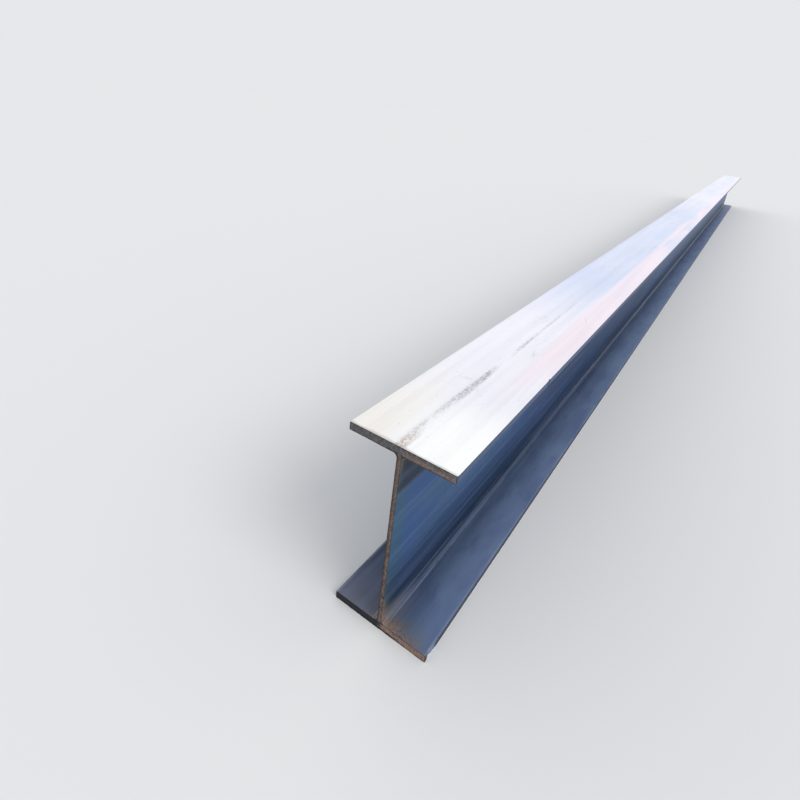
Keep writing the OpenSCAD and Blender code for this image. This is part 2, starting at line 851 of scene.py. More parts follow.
class GroupGraph(Graph):
    """A graph inside a new node group, with named inputs and outputs."""

    def __init__(self, name: str, inputs: dict[str, Feed], outputs: dict[str, str]) -> None:
        """Makes the group and its sockets.

        Args:
            name: The group's name.
            inputs: Each input's name and its usual value: "vector" for a place, or a number.
            outputs: Each output's name and its kind: Float or Color.
        """
        super().__init__(bpy.data.node_groups.new(name, "ShaderNodeTree"))
        sockets = self.tree.interface
        for title, value in inputs.items():
            kind = "NodeSocketVector" if value == "vector" else "NodeSocketFloat"
            made = sockets.new_socket(name=title, in_out="INPUT", socket_type=kind)
            if kind == "NodeSocketFloat":
                made.default_value = value
        for title, kind in outputs.items():
            sockets.new_socket(name=title, in_out="OUTPUT", socket_type="NodeSocket" + kind)
        entry = self.tree.nodes.new("NodeGroupInput")
        self.given = {socket.name: socket for socket in entry.outputs}
        self.exit = self.tree.nodes.new("NodeGroupOutput")

    def give(self, **results: Feed) -> bpy.types.NodeTree:
        """Feeds the group's outputs.

        Args:
            results: What feeds each output.

        Returns:
            The group's tree.
        """
        for name, value in results.items():
            self.feed(self.exit.inputs[name], value)
        return self.tree


@dataclass
class Effects:
    """The node groups that the member's finishes share, each built once."""

    section: Section
    half_length: float
    places: bpy.types.NodeTree = field(init=False)
    cloud: bpy.types.NodeTree = field(init=False)
    rust: bpy.types.NodeTree = field(init=False)
    grain: bpy.types.NodeTree = field(init=False)
    pits: bpy.types.NodeTree = field(init=False)
    scratches: bpy.types.NodeTree = field(init=False)

    def __post_init__(self) -> None:
        """Builds every group."""
        self.places = self.build_places()
        self.cloud = self.build_cloud()
        self.rust = self.build_rust()
        self.grain = self.build_grain()
        self.pits = self.build_pits()
        self.scratches = self.build_scratches()

    def build_places(self) -> bpy.types.NodeTree:
        """Tells how far a place lies from the sawn ends, the roots and the toes, in metres.

        Returns:
            The node group.
        """
        s = self.section
        g = GroupGraph(
            "member_places",
            {"Position": "vector"},
            {"Near": "Float", "End": "Float", "Root": "Float", "Toe": "Float", "Up": "Float"},
        )
        x, y, z = g.split(g.given["Position"])
        near = g.math("ADD", x, self.half_length)
        end = g.least(near, g.less(self.half_length, x))
        off_web = g.less(g.off(y), s.web / 2)
        inside = g.least(z, g.less(s.depth, z))
        off_flange = g.less(inside, s.flange)
        root = g.most(off_web, off_flange)
        toe = g.less(s.width / 2, g.off(y))
        return g.give(Near=near, End=end, Root=root, Toe=toe, Up=z)

    @staticmethod
    def build_cloud() -> bpy.types.NodeTree:
        """Soft patches, drawn out along the member.

        Returns:
            The node group.
        """
        g = GroupGraph(
            "drawn_out_cloud",
            {"Position": "vector", "Scale": 5.0, "Along": 0.3, "Low": 0.4, "High": 0.6, "Seed": 0.0},
            {"Mask": "Float"},
        )
        shift = g.node("CombineXYZ")
        for socket in shift.inputs:
            g.feed(socket, g.given["Seed"])
        moved = g.node("VectorMath", operation="ADD")
        g.feed(moved.inputs[0], g.stretched(g.given["Position"], g.given["Along"]))
        g.feed(moved.inputs[1], shift.outputs[0])
        patches = g.noise(moved.outputs[0], g.given["Scale"], 5.0, 0.55, 0.4)
        return g.give(Mask=g.fade(patches, g.given["Low"], g.given["High"]))

    @staticmethod
    def build_rust() -> bpy.types.NodeTree:
        """Thin rust that creeps from a sawn end and from a root, with ragged edges.

        Returns:
            The node group.
        """
        g = GroupGraph(
            "rust_bloom",
            {"Position": "vector", "Distance": 1.0, "Reach": 0.05, "Amount": 1.0},
            {"Mask": "Float", "Color": "Color", "Height": "Float"},
        )
        place = g.given["Position"]
        ragged = g.noise(place, 30.0, 4.0, 0.5)
        broad = g.noise(place, 9.0, 3.0)
        wander = g.line(g.math("ADD", ragged, broad), 0.8, -0.15)
        reach = g.times(g.given["Reach"], g.most(wander, 0.05))
        near = g.fade(g.given["Distance"], g.times(reach, 1.7), 0.0)
        mask = g.times(near, g.given["Amount"], clamp=True)
        tone = g.noise(place, 160.0, 4.0, 0.6)
        color = g.ramp(
            tone,
            (0.30, paint(70, 58, 54)),
            (0.45, paint(114, 92, 82)),
            (0.60, paint(142, 116, 102)),
            (0.74, paint(96, 74, 64)),
        )
        return g.give(Mask=mask, Color=color, Height=g.times(mask, tone))

    @staticmethod
    def build_grain() -> bpy.types.NodeTree:
        """The fine lengthwise grain that the rolls leave.

        Returns:
            The node group.
        """
        g = GroupGraph(
            "rolling_grain",
            {"Position": "vector", "Fineness": 1.0},
            {"Height": "Float", "Streak": "Float"},
        )
        fine = g.times(g.given["Fineness"], 260.0)
        broad = g.times(g.given["Fineness"], 46.0)
        place = g.given["Position"]
        threads = g.noise(g.stretched(place, 0.02, 1.0, 3.1), fine, 3.0, 0.6)
        bands = g.noise(g.stretched(place, 0.03, 1.0, 8.4), broad, 4.0, 0.6)
        return g.give(Height=g.line(bands, 0.6, threads), Streak=bands)

    @staticmethod
    def build_pits() -> bpy.types.NodeTree:
        """Small pits and flaked spots in the scale.

        Returns:
            The node group.
        """
        g = GroupGraph(
            "scale_pits",
            {"Position": "vector", "Scale": 90.0, "Cover": 0.5},
            {"Mask": "Float", "Height": "Float"},
        )
        place = g.given["Position"]
        spots = g.noise(g.stretched(place, 0.6, 1.0, 5.2), g.given["Scale"], 5.0, 0.65)
        edge = g.line(g.given["Cover"], -0.25, 0.70)
        mask = g.fade(spots, edge, g.math("ADD", edge, 0.06))
        return g.give(Mask=mask, Height=g.times(mask, -1.0))

    @staticmethod
    def build_scratches() -> bpy.types.NodeTree:
        """Scrapes from slings and forks: thin wandering lines at a slant, in loose crowds.

        Returns:
            The node group.
        """
        g = GroupGraph(
            "handling_scratches",
            {"Position": "vector", "Cover": 0.5},
            {"Mask": "Float", "Height": "Float"},
        )
        place = g.given["Position"]
        total = None
        for turn, scale, seed in ((0.5, 9.0, 1.3), (-0.3, 13.0, 6.1), (1.2, 7.0, 9.7)):
            turned = g.node("VectorRotate", rotation_type="Z_AXIS")
            g.feed(turned.inputs["Vector"], place)
            g.feed(turned.inputs["Angle"], turn)
            lines = g.noise(g.stretched(turned.outputs[0], 0.12, 1.0, seed), scale, 2.0, 0.4)
            off_line = g.off(lines, 0.5)
            line = g.fade(off_line, 0.004, 0.0)
            total = line if total is None else g.most(total, line)
        crowd = g.noise(place, 3.2, 4.0, 0.6)
        edge = g.line(g.given["Cover"], -0.25, 0.68)
        where = g.fade(crowd, edge, g.math("ADD", edge, 0.08))
        mask = g.times(total, where, clamp=True)
        return g.give(Mask=mask, Height=g.times(mask, -1.0))


# ---------------------------------------------------------------------------
# Finishes
# ---------------------------------------------------------------------------


@dataclass(frozen=True)
class Fade:
    """A smooth change from low to high as a number goes from start to stop."""

    start: float
    stop: float
    low: float = 0.0
    high: float = 1.0

    def of(self, g: Graph, value: Feed) -> Feed:
        """Reads the change at a number."""
        return g.fade(value, self.start, self.stop, self.low, self.high)


@dataclass(frozen=True)
class Patches:
    """Soft patches: how small, how drawn out, from what level to what level they fade in."""

    scale: float
    along: float
    low: float
    high: float
    seed: float


@dataclass(frozen=True)
class Bench:
    """What a finish is worked on: its graph and shader, and what is known of each place."""

    g: Graph
    fx: Effects
    material: bpy.types.Material
    shader: bpy.types.Node
    place: Feed
    y: Feed
    at: dict[str, Feed]

    def cloud(self, patches: Patches) -> Feed:
        """Reads how far each place lies inside a patch, 0 to 1."""
        values = {name.capitalize(): value for name, value in asdict(patches).items()}
        return self.g.use(self.fx.cloud, Position=self.place, **values)["Mask"]

    def rust(self, distance: Feed, reach: Feed, amount: Feed) -> dict[str, Feed]:
        """Places the rust effect and returns its outputs."""
        given = {"Distance": distance, "Reach": reach, "Amount": amount}
        return self.g.use(self.fx.rust, Position=self.place, **given)


@dataclass(frozen=True)
class Finish:
    """What every steel finish here shares: a Principled shader fed by a graph of masks."""

    name: str

    def start(self, fx: Effects) -> Bench:
        """Makes the empty material.

        Args:
            fx: The shared effects.

        Returns:
            The bench on which the finish is built.
        """
        material = bpy.data.materials.new(self.name)
        material.use_nodes = True
        tree = material.node_tree
        tree.nodes.clear()
        g = Graph(tree)
        shader = g.node("BsdfPrincipled")
        out = g.node("OutputMaterial")
        tree.links.new(shader.outputs[0], out.inputs[0])
        place = g.node("TexCoord").outputs["Object"]
        at = g.use(fx.places, Position=place)
        return Bench(g, fx, material, shader, place, g.split(place)[1], at)

    @staticmethod
    def bump(b: Bench, height: Feed, depth: float) -> None:
        """Feeds a height to the shader's normal.

        Args:
            b: The bench.
            height: The relief, about 0 to 1.
            depth: How deep a height of 1 is, in metres.
        """
        made = b.g.node("Bump")
        made.inputs["Strength"].default_value = 1.0
        made.inputs["Distance"].default_value = depth
        b.g.feed(made.inputs["Height"], height)
        b.g.feed(b.shader.inputs["Normal"], made.outputs[0])


@dataclass(frozen=True)
class ChannelSkin(Finish):
    """Blue mill scale on the web, the roots, the toes and the inner faces of the flanges, with
    painted shade and a painted highlight by the roots.
    """

    deep: Color = paint(42, 77, 131)
    slate: Color = paint(67, 93, 132)
    teal: Color = paint(54, 89, 104)
    violet: Color = paint(78, 82, 127)
    shade: Color = paint(20, 35, 55)
    dusty: Color = paint(112, 130, 160)
    # Painted shade: the dust's colour on the +Y side of the web.
    sheltered: Color = paint(42, 49, 62)
    # Painted shadow of the top flange on the web.
    gloom: Color = paint(26, 37, 50)
    dulled: Color = paint(86, 101, 134)
    frosted: Color = paint(112, 112, 122)
    # Wear on scrapes and lips, and a painted highlight along the root fillets.
    worn: Color = paint(140, 152, 170)
    toe_dark: Color = paint(38, 40, 50)
    toe_blue: Color = paint(72, 90, 120)
    fringe: Color = paint(104, 104, 84)
    metal: float = 0.3
    edge_tint: Color = (0.3, 0.36, 0.45)

    broad: Patches = Patches(1.7, 0.35, 0.36, 0.64, seed=2.0)
    teal_patches: Patches = Patches(3.3, 0.3, 0.5, 0.68, seed=7.0)
    violet_patches: Patches = Patches(4.1, 0.3, 0.5, 0.68, seed=11.0)
    uneven: Patches = Patches(9.0, 0.4, 0.4, 0.62, seed=17.0)
    tinted: Patches = Patches(14.0, 0.3, 0.5, 0.66, seed=23.0)
    rubbed: Patches = Patches(30.0, 0.3, 0.3, 0.6, seed=13.0)

    slate_far_off: Fade = Fade(0.6, 3.0, 0.0, 0.8)
    teal_by_end: Fade = Fade(0.09, 0.02, 0.0, 0.7)
    teal_share: float = 0.55
    violet_share: float = 0.5
    # Painted shade: the web darker towards its foot, and along a stretch behind the near end.
    foot_height: float = 0.3
    foot_share: float = 0.88
    dim_begins: Fade = Fade(0.5, 1.5, 0.0, 0.6)
    dim_ends: Fade = Fade(6.0, 2.6)
    # Painted shadow of the top flange: a dark band along the web some 122 to 142 mm below the top.
    band_wander: float = 22 * MM
    band_below_top: tuple[float, float] = (142 * MM, 122 * MM)
    band_along: Fade = Fade(0.5, 1.5, 0.9, 0.6)
    # Painted shade in the root fillets.
    root_share: float = 0.7
    root_along: Fade = Fade(0.0, 0.3, 0.5, 1.0)

    lying_above: tuple[float, float] = (3 * MM, 0.5 * MM)
    dust_from_root: float = 10 * MM
    dust_least: float = 0.5
    dust_gain: float = 0.45
    # Painted shade: the dust on the +Y side takes the darker colour.
    shelter: Fade = Fade(-0.02, 0.02, 0.0, 0.9)
    uneven_share: float = 0.5
    tinted_share: float = 0.3
    # Painted shade on the lower flange's inner faces next to the web.
    dark_by_web: Fade = Fade(0.075, 0.012, 0.0, 0.4)
    frost_up: Fade = Fade(0.12, 0.04)
    frost_out: Fade = Fade(0.05, 0.02)
    other_side: Fade = Fade(0.0, 0.02)
    frost_along: Fade = Fade(0.22, 0.0, 0.0, 0.6)

    streaks: Fade = Fade(0.42, 0.66, 0.0, 0.18)
    scrape_cover: float = 0.1
    scrape_share: float = 0.25
    # A light line beside each root fillet, partly wear and partly painted highlight.
    root_line: Fade = Fade(3.2 * MM, 0.6 * MM)
    root_line_out: float = 1 * MM
    root_line_along: Fade = Fade(1.1, 0.2, 0.15, 0.6)
    toe_face: Fade = Fade(1.6 * MM, 0.6 * MM, 0.0, 0.85)
    toe_change: Fade = Fade(0.2, 0.4)
    lip_line: Fade = Fade(3.5 * MM, 1 * MM)
    lip_in: float = 4.5 * MM
    lip_share: float = 0.45

    rust_round_corner: float = 0.38
    rust_on_flange: float = -0.1
    rust_up: Fade = Fade(0.35, 0.1, 0.45, 1.0)
    rust_reach: Fade = Fade(0.0, 0.02, 0.05, 0.012)
    rust_amount: float = 0.85
    fringe_reach: float = 1.9
    fringe_amount: float = 0.55

    def build(self, fx: Effects) -> bpy.types.Material:
        """Makes the material.

        Args:
            fx: The shared effects.

        Returns:
            The finished material.
        """
        b = self.start(fx)
        g = b.g
        grain = g.use(fx.grain, Position=b.place, Fineness=1.0)
        scrapes = g.use(fx.scratches, Position=b.place, Cover=self.scrape_cover)
        lying = g.fade(b.at["Up"], *(fx.section.flange + above for above in self.lying_above))
        out = g.fade(b.at["Root"], self.dust_from_root, fx.section.width / 2)
        dust = g.times(lying, g.line(out, self.dust_gain, self.dust_least))

        color = self.lay_dust(b, self.scale(b), lying, dust)
        color = g.mix(self.streaks.of(g, grain["Streak"]), color, self.dusty)
        color = g.mix(g.times(scrapes["Mask"], self.scrape_share), color, self.worn)
        color = self.rub_edges(b, color)
        color, rust = self.let_rust(b, color, lying)
        g.feed(b.shader.inputs["Base Color"], color)

        dull = g.most(rust["Mask"], g.times(dust, 0.5))
        g.feed(b.shader.inputs["Metallic"], g.line(dull, -self.metal, self.metal, clamp=True))
        b.shader.inputs["Specular Tint"].default_value = (*self.edge_tint, 1.0)
        rough = g.line(dull, 0.35, g.line(grain["Streak"], 0.22, 0.28), clamp=True)
        g.feed(b.shader.inputs["Roughness"], rough)
        height = g.line(scrapes["Height"], 0.8, grain["Height"])
        self.bump(b, g.line(rust["Height"], 0.8, height), 0.08 * MM)
        return b.material

    def scale(self, b: Bench) -> Feed:
        """Colours the mill scale, blue with slate, teal and violet heat tints, and paints shade on
        it: towards the foot of the web, along a stretch behind the near end, as a shadow band under
        the top flange, and in the root fillets.

        Args:
            b: The bench.

        Returns:
            The scale's colour, painted shade included.
        """
        g, at, section = b.g, b.at, b.fx.section
        broad = b.cloud(self.broad)
        color = g.mix(g.most(broad, self.slate_far_off.of(g, at["End"])), self.deep, self.slate)
        color = g.mix(g.times(b.cloud(self.teal_patches), self.teal_share), color, self.teal)
        color = g.mix(g.times(b.cloud(self.violet_patches), self.violet_share), color, self.violet)
        color = g.mix(self.teal_by_end.of(g, at["End"]), color, self.teal)

        # Painted shade: the web darker towards its foot.
        foot = g.fade(at["Up"], self.foot_height, section.flange, 0.0, self.foot_share)
        # Painted shade: a darker stretch of the web from about 0.5 m to 6 m behind the near end.
        shade_stretch = g.times(self.dim_begins.of(g, at["Near"]), self.dim_ends.of(g, at["Near"]))
        color = g.mix(g.most(foot, shade_stretch), color, self.shade)
        # Painted shadow of the top flange: a dark, wandering band along the web below it.
        wander = g.line(broad, self.band_wander, at["Up"])
        band = g.fade(wander, *(section.depth - below for below in self.band_below_top))
        color = g.mix(g.times(band, self.band_along.of(g, at["End"])), color, self.gloom)
        # Painted shade in the root fillets, weaker at the sawn ends.
        root_shade = g.fade(at["Root"], section.flange, section.root * 0.9, 0.0, self.root_share)
        return g.mix(g.times(root_shade, self.root_along.of(g, at["End"])), color, self.shade)

    def lay_dust(self, b: Bench, color: Feed, lying: Feed, dust: Feed) -> Feed:
        """Dulls the lower flange's inner faces with dust, paints shade on them on the +Y side and
        next to the web, and frosts the foot of the web by the ends.

        Args:
            b: The bench.
            color: The colour so far.
            lying: The mask of the faces that lie open to dust.
            dust: How much dust lies there.

        Returns:
            The colour with the dust on it.
        """
        g, at = b.g, b.at
        # Painted shade: the dust on the +Y side of the web takes a darker colour.
        tone = g.mix(self.shelter.of(g, b.y), self.dusty, self.sheltered)
        tone = g.mix(g.times(b.cloud(self.uneven), self.uneven_share), tone, self.dulled)
        tone = g.mix(g.times(b.cloud(self.tinted), self.tinted_share), tone, self.violet)
        color = g.mix(dust, color, tone)
        # Painted shade on the lower flange's inner faces next to the web.
        color = g.mix(g.times(lying, self.dark_by_web.of(g, at["Root"])), color, self.shade)
        foot = g.times(self.frost_up.of(g, at["Up"]), self.frost_out.of(g, at["Root"]))
        frost = g.most(foot, g.times(lying, self.other_side.of(g, b.y)))
        return g.mix(g.times(frost, self.frost_along.of(g, at["End"])), color, self.frosted)

    def rub_edges(self, b: Bench, color: Feed) -> Feed:
        """Draws the light lines along the roots, partly wear and partly painted highlight of the
        fillets, the toes and the rubbed lips beside the toes.

        Args:
            b: The bench.
            color: The colour so far.

        Returns:
            The colour with the lines on it.
        """
        g, at = b.g, b.at
        rubbed = b.cloud(self.rubbed)
        # A light line beside each root fillet, partly wear and partly painted highlight.
        off_line = g.off(at["Root"], b.fx.section.root + self.root_line_out)
        worn = g.times(rubbed, self.root_line_along.of(g, at["End"]))
        color = g.mix(g.times(self.root_line.of(g, off_line), worn), color, self.worn)
        toe_tone = g.mix(self.toe_change.of(g, at["Up"]), self.toe_dark, self.toe_blue)
        color = g.mix(self.toe_face.of(g, at["Toe"]), color, toe_tone)
        lip = self.lip_line.of(g, g.off(at["Toe"], self.lip_in))
        return g.mix(g.times(lip, g.times(rubbed, self.lip_share)), color, self.worn)

    def let_rust(self, b: Bench, color: Feed, lying: Feed) -> tuple[Feed, dict[str, Feed]]:
        """Lets rust creep in from the sawn ends, furthest at the foot of the open side.

        Args:
            b: The bench.
            color: The colour so far.
            lying: The mask of the faces that lie open to dust.

        Returns:
            The colour with rust on it, and the rust effect's outputs.
        """
        g, at = b.g, b.at
        spread = g.line(lying, self.rust_on_flange, self.rust_round_corner)
        corner = g.line(at["Root"], spread, at["End"])
        reach = g.times(self.rust_up.of(g, at["Up"]), self.rust_reach.of(g, b.y))
        rust = b.rust(corner, reach, self.rust_amount)
        fringe = b.rust(corner, g.times(reach, self.fringe_reach), self.fringe_amount)
        color = g.mix(fringe["Mask"], color, self.fringe)
        return g.mix(rust["Mask"], color, rust["Color"]), rust


@dataclass(frozen=True)
class OuterSkin(Finish):
    """The flanges' outer faces: scale rubbed pale by handling, with a grey track over the web, and
    painted glare and reflections of the sky.
    """

    silver: Color = paint(237, 234, 235)
    # Painted glare on the outer faces by the near end.
    bright: Color = paint(250, 250, 244)
    # Painted reflection of the sky: the outer faces turn blue further along.
    cool: Color = paint(199, 207, 228)
    # Painted pink reflection of the sky on the outer faces.
    blush: Color = paint(233, 218, 225)
    cream: Color = paint(236, 230, 220)
    soot: Color = paint(138, 132, 130)
    tan: Color = paint(176, 158, 140)
    smudge: Color = paint(120, 122, 134)
    pitted: Color = paint(110, 108, 112)
    streaked: Color = paint(150, 152, 164)
    scraped: Color = paint(120, 124, 136)
    metal: float = 0.78

    broad: Patches = Patches(2.1, 0.4, 0.4, 0.6, seed=4.0)
    pink: Patches = Patches(5.0, 0.14, 0.34, 0.54, seed=21.0)
    patchy: Patches = Patches(9.0, 0.35, 0.36, 0.58, seed=31.0)
    smudges: Patches = Patches(6.0, 0.5, 0.62, 0.74, seed=41.0)

    # Painted blue reflection of the sky, from about 0.8 m behind the near end.
    cool_begins: Fade = Fade(0.8, 2.0)
    cool_ends: Fade = Fade(6.2, 4.4, 0.4, 0.85)
    cool_cloud: float = 0.2
    # Painted glare by the near end, strongest on the -Y side.
    bright_along: Fade = Fade(0.4, 0.05)
    bright_across: Fade = Fade(0.02, -0.08, 0.5, 1.0)
    # Painted pink reflection of the sky along the -Y side.
    blush_across: Fade = Fade(-0.045, -0.075)
    blush_along: Fade = Fade(0.08, 0.5)
    blush_share: float = 0.8
    cream_across: Fade = Fade(0.0, 0.09)
    cream_along: Fade = Fade(0.5, 0.05, 0.0, 0.8)

    track_middle: float = 4 * MM
    track_width: Fade = Fade(0.9, 0.0, 8 * MM, 20 * MM)
    track_core: float = 0.35
    track_along: Fade = Fade(1.6, 0.25, 0.12, 1.0)
    track_speckle: Fade = Fade(0.40, 0.58, 0.25, 1.0)
    track_share: float = 0.8
    tan_along: Fade = Fade(0.22, 0.05)
    smudge_across: Fade = Fade(0.11, 0.03)
    smudge_speckle: Fade = Fade(0.4, 0.6, 0.0, 0.6)

    pit_scale: float = 120.0
    pit_cover: float = 0.25
    pit_share: float = 0.25
    streaks: Fade = Fade(0.40, 0.66, 0.0, 0.07)
    scrape_cover: float = 0.5
    scrape_share: float = 0.16
    rust_reach: float = 12 * MM
    rust_amount: float = 0.5

    def build(self, fx: Effects) -> bpy.types.Material:
        """Makes the material.

        Args:
            fx: The shared effects.

        Returns:
            The finished material.
        """
        b = self.start(fx)
        g = b.g
        grain = g.use(fx.grain, Position=b.place, Fineness=0.8)
        pits = g.use(fx.pits, Position=b.place, Scale=self.pit_scale, Cover=self.pit_cover)
        scrapes = g.use(fx.scratches, Position=b.place, Cover=self.scrape_cover)
        speckle = g.noise(g.stretched(b.place, 0.55, 1.0, 2.2), 150.0, 6.0, 0.7)

        track = self.track(b, speckle)
        soot = g.mix(self.tan_along.of(g, b.at["Near"]), self.soot, self.tan)
        color = g.mix(g.times(track, self.track_share), self.rubbed_scale(b), soot)
        middle = self.smudge_across.of(g, g.off(b.y))
        dirt = g.times(b.cloud(self.smudges), g.times(middle, self.smudge_speckle.of(g, speckle)))
        color = g.mix(dirt, color, self.smudge)
        color = g.mix(g.times(pits["Mask"], self.pit_share), color, self.pitted)
        color = g.mix(self.streaks.of(g, grain["Streak"]), color, self.streaked)
        color = g.mix(g.times(scrapes["Mask"], self.scrape_share), color, self.scraped)
        rust = b.rust(b.at["End"], self.rust_reach, self.rust_amount)
        color = g.mix(rust["Mask"], color, rust["Color"])
        g.feed(b.shader.inputs["Base Color"], color)

        dull = g.most(rust["Mask"], g.times(track, 0.6))
        g.feed(b.shader.inputs["Metallic"], g.line(dull, -self.metal, self.metal))
        rough = g.line(dull, 0.3, g.line(grain["Streak"], 0.20, 0.30), clamp=True)
        g.feed(b.shader.inputs["Roughness"], rough)
        height = g.line(pits["Height"], 0.6, grain["Height"])
        height = g.line(scrapes["Height"], 0.8, height)
        self.bump(b, g.line(g.times(track, speckle), 0.8, height), 0.05 * MM)
        return b.material

    def rubbed_scale(self, b: Bench) -> Feed:
        """Colours the rubbed scale: silver, with a painted glare by the near end, a painted blue
        reflection of the sky further along, a painted pink reflection in a band, and a cream stretch.

        Args:
            b: The bench.

        Returns:
            The scale's colour.
        """
        g, near, y = b.g, b.at["Near"], b.y
        # Painted reflection of the sky: the faces turn blue from about 0.8 m behind the near end.
        far = g.times(self.cool_begins.of(g, near), self.cool_ends.of(g, near))
        color = g.mix(g.line(b.cloud(self.broad), self.cool_cloud, far), self.silver, self.cool)
        # Painted glare within about 0.4 m of the near end, strongest on the -Y side.
        glare = g.times(self.bright_along.of(g, near), self.bright_across.of(g, y))
        color = g.mix(glare, color, self.bright)
        # Painted pink reflection of the sky, in patches along the -Y side from half a metre behind
        # the near end.
        band = g.times(self.blush_across.of(g, y), self.blush_along.of(g, near))
        pink = g.times(b.cloud(self.pink), self.blush_share)
        color = g.mix(g.times(band, pink), color, self.blush)
        corner = g.times(self.cream_across.of(g, y), self.cream_along.of(g, near))
        return g.mix(corner, color, self.cream)

    def track(self, b: Bench, speckle: Feed) -> Feed:
        """Finds the speckled track of soot that runs over the web, widest at the near end.

        Args:
            b: The bench.
            speckle: Fine noise.

        Returns:
            The track's mask.
        """
        g, near = b.g, b.at["Near"]
        width = self.track_width.of(g, near)
        core = g.times(width, self.track_core)
        track = g.fade(g.off(b.y, self.track_middle), width, core)
        track = g.times(track, self.track_speckle.of(g, speckle))
        return g.times(track, g.times(b.cloud(self.patchy), self.track_along.of(g, near)))


@dataclass(frozen=True)
class SawnSteel(Finish):
    """The sawn ends: dark gun-metal where dry, tan rust where water has stood."""

    gun: Color = paint(70, 69, 71)
    black: Color = paint(20, 24, 34)
    pale: Color = paint(104, 102, 103)
    rim: Color = paint(30, 28, 30)
    blade_lines: tuple[float, float, float] = (1.0, 0.12, 7.0)

    pale_mottle: Fade = Fade(0.35, 0.7)
    black_share: tuple[float, float] = (0.5, 0.3)
    flange_margin: float = 3 * MM
    wet_wander: float = 30 * MM
    wet_side: Fade = Fade(22 * MM, -2 * MM)
    dry_below_top: tuple[float, float] = (7 * MM, 13 * MM)
    wet_above_foot: Fade = Fade(3 * MM, 8 * MM)
    wet_slope: float = -0.22
    wet_above_slope: Fade = Fade(12 * MM, 22 * MM)
    less_wet_up: Fade = Fade(0.1, 0.3, 1.0, 0.6)
    wet_cloud: Fade = Fade(0.25, 0.45, 0.55, 0.95)

    shaded_side: tuple[float, float] = (0.15, 0.7)
    blotches: Fade = Fade(0.46, 0.62)
    blotch_share: tuple[float, float] = (0.35, 0.85)
    rim_wander: tuple[float, float] = (5.0 * MM, -2.0 * MM)
    rim_width: Fade = Fade(4.4 * MM, 1.6 * MM, 0.0, 0.8)
    line_dark: Fade = Fade(0.5, 0.75, 0.0, 0.3)

    def build(self, fx: Effects) -> bpy.types.Material:
        """Makes the material.

        Args:
            fx: The shared effects.

        Returns:
            The finished material.
        """
        b = self.start(fx)
        g, z = b.g, b.at["Up"]
        mottle = g.noise(g.stretched(b.place, 1.0, 1.0, 4.0), 140.0, 5.0, 0.6)
        lines = g.noise(self.along_cut(b), 60.0, 3.0, 0.6)
        inside = g.least(z, g.less(fx.section.depth, z))
        in_flange = g.fade(inside, fx.section.flange + self.flange_margin, fx.section.flange)

        color = g.mix(self.pale_mottle.of(g, mottle), self.gun, self.pale)
        lower = g.fade(z, *(fx.section.depth * share for share in self.black_share))
        color = g.mix(g.times(lower, in_flange), color, self.black)
        rust = b.rust(0.0, 1.0, self.wet(b, in_flange))
        tan = g.mix(in_flange, self.shaded_rust(b, rust["Color"]), rust["Color"])
        color = g.mix(rust["Mask"], color, tan)
        ragged = g.line(mottle, *self.rim_wander)
        edge = g.math("ADD", self.off_edges(b, inside), ragged)
        color = g.mix(self.rim_width.of(g, edge), color, self.rim)
        color = g.mix(self.line_dark.of(g, lines), color, self.rim)
        g.feed(b.shader.inputs["Base Color"], color)

        g.feed(b.shader.inputs["Metallic"], g.line(rust["Mask"], -0.5, 0.5))
        g.feed(b.shader.inputs["Roughness"], g.line(rust["Mask"], 0.3, 0.5))
        self.bump(b, g.line(rust["Height"], 0.8, lines), 0.12 * MM)
        return b.material

    def wet(self, b: Bench, in_flange: Feed) -> Feed:
        """Finds where water has stood: on the web, and on one side of each flange.

        Args:
            b: The bench.
            in_flange: The mask of the flanges.

        Returns:
            How much rust there is, 0 to 1.
        """
        g, y, z, section = b.g, b.y, b.at["Up"], b.fx.section
        broad = g.noise(g.stretched(b.place, 1.0, 1.0, 9.0), 22.0, 4.0, 0.55)
        side = self.wet_side.of(g, g.line(broad, self.wet_wander, y))
        high = g.fade(z, *(section.depth - below for below in self.dry_below_top))
        slant = self.wet_above_slope.of(g, g.line(y, self.wet_slope, z))
        low = g.most(self.wet_above_foot.of(g, z), slant)
        in_web = g.fade(g.off(y), section.root_reach, section.web / 2)
        web_part = g.times(in_web, g.less(1.0, in_flange))
        flange_part = g.times(side, g.least(high, low))
        flange_part = g.times(flange_part, self.less_wet_up.of(g, z))
        wet = g.most(flange_part, web_part)
        return g.times(wet, self.wet_cloud.of(g, broad), clamp=True)

    def shaded_rust(self, b: Bench, color: Feed) -> Feed:
        """Darkens the rust on the web towards one side, in blotches.

        Args:
            b: The bench.
            color: The rust's colour.

        Returns:
            The darkened colour.
        """
        g, section = b.g, b.fx.section
        side = g.fade(b.y, -section.web / 2, section.web / 2, *self.shaded_side)
        blotch = g.noise(g.stretched(b.place, 1.0, 1.0, 6.0), 55.0, 3.0, 0.6)
        low_down = g.fade(b.at["Up"], section.depth, 0.0, *self.blotch_share)
        dark = g.times(self.blotches.of(g, blotch), low_down)
        return g.mix(dark, g.mix(side, color, self.rim), self.rim)

    @staticmethod
    def off_edges(b: Bench, inside: Feed) -> Feed:
        """How far a place on the sawn face lies from the face's nearest edge.

        Args:
            b: The bench.
            inside: How far it lies from the nearer outer face.

        Returns:
            The distance, in metres.
        """
        g, section = b.g, b.fx.section
        flange = g.least(inside, g.less(section.flange, inside))
        flange = g.least(flange, b.at["Toe"])
        web = g.least(g.less(section.web / 2, g.off(b.y)), inside)
        return g.most(flange, web)

    def along_cut(self, b: Bench) -> Feed:
        """Stretches places so that noise runs in lines along the blade's travel.

        Args:
            b: The bench.

        Returns:
            The stretched place.
        """
        made = b.g.node("VectorMath", operation="MULTIPLY")
        for socket, value in zip(made.inputs, (b.place, self.blade_lines)):
            b.g.feed(socket, value)
        return made.outputs[0]


# ---------------------------------------------------------------------------
# The studio
# ---------------------------------------------------------------------------


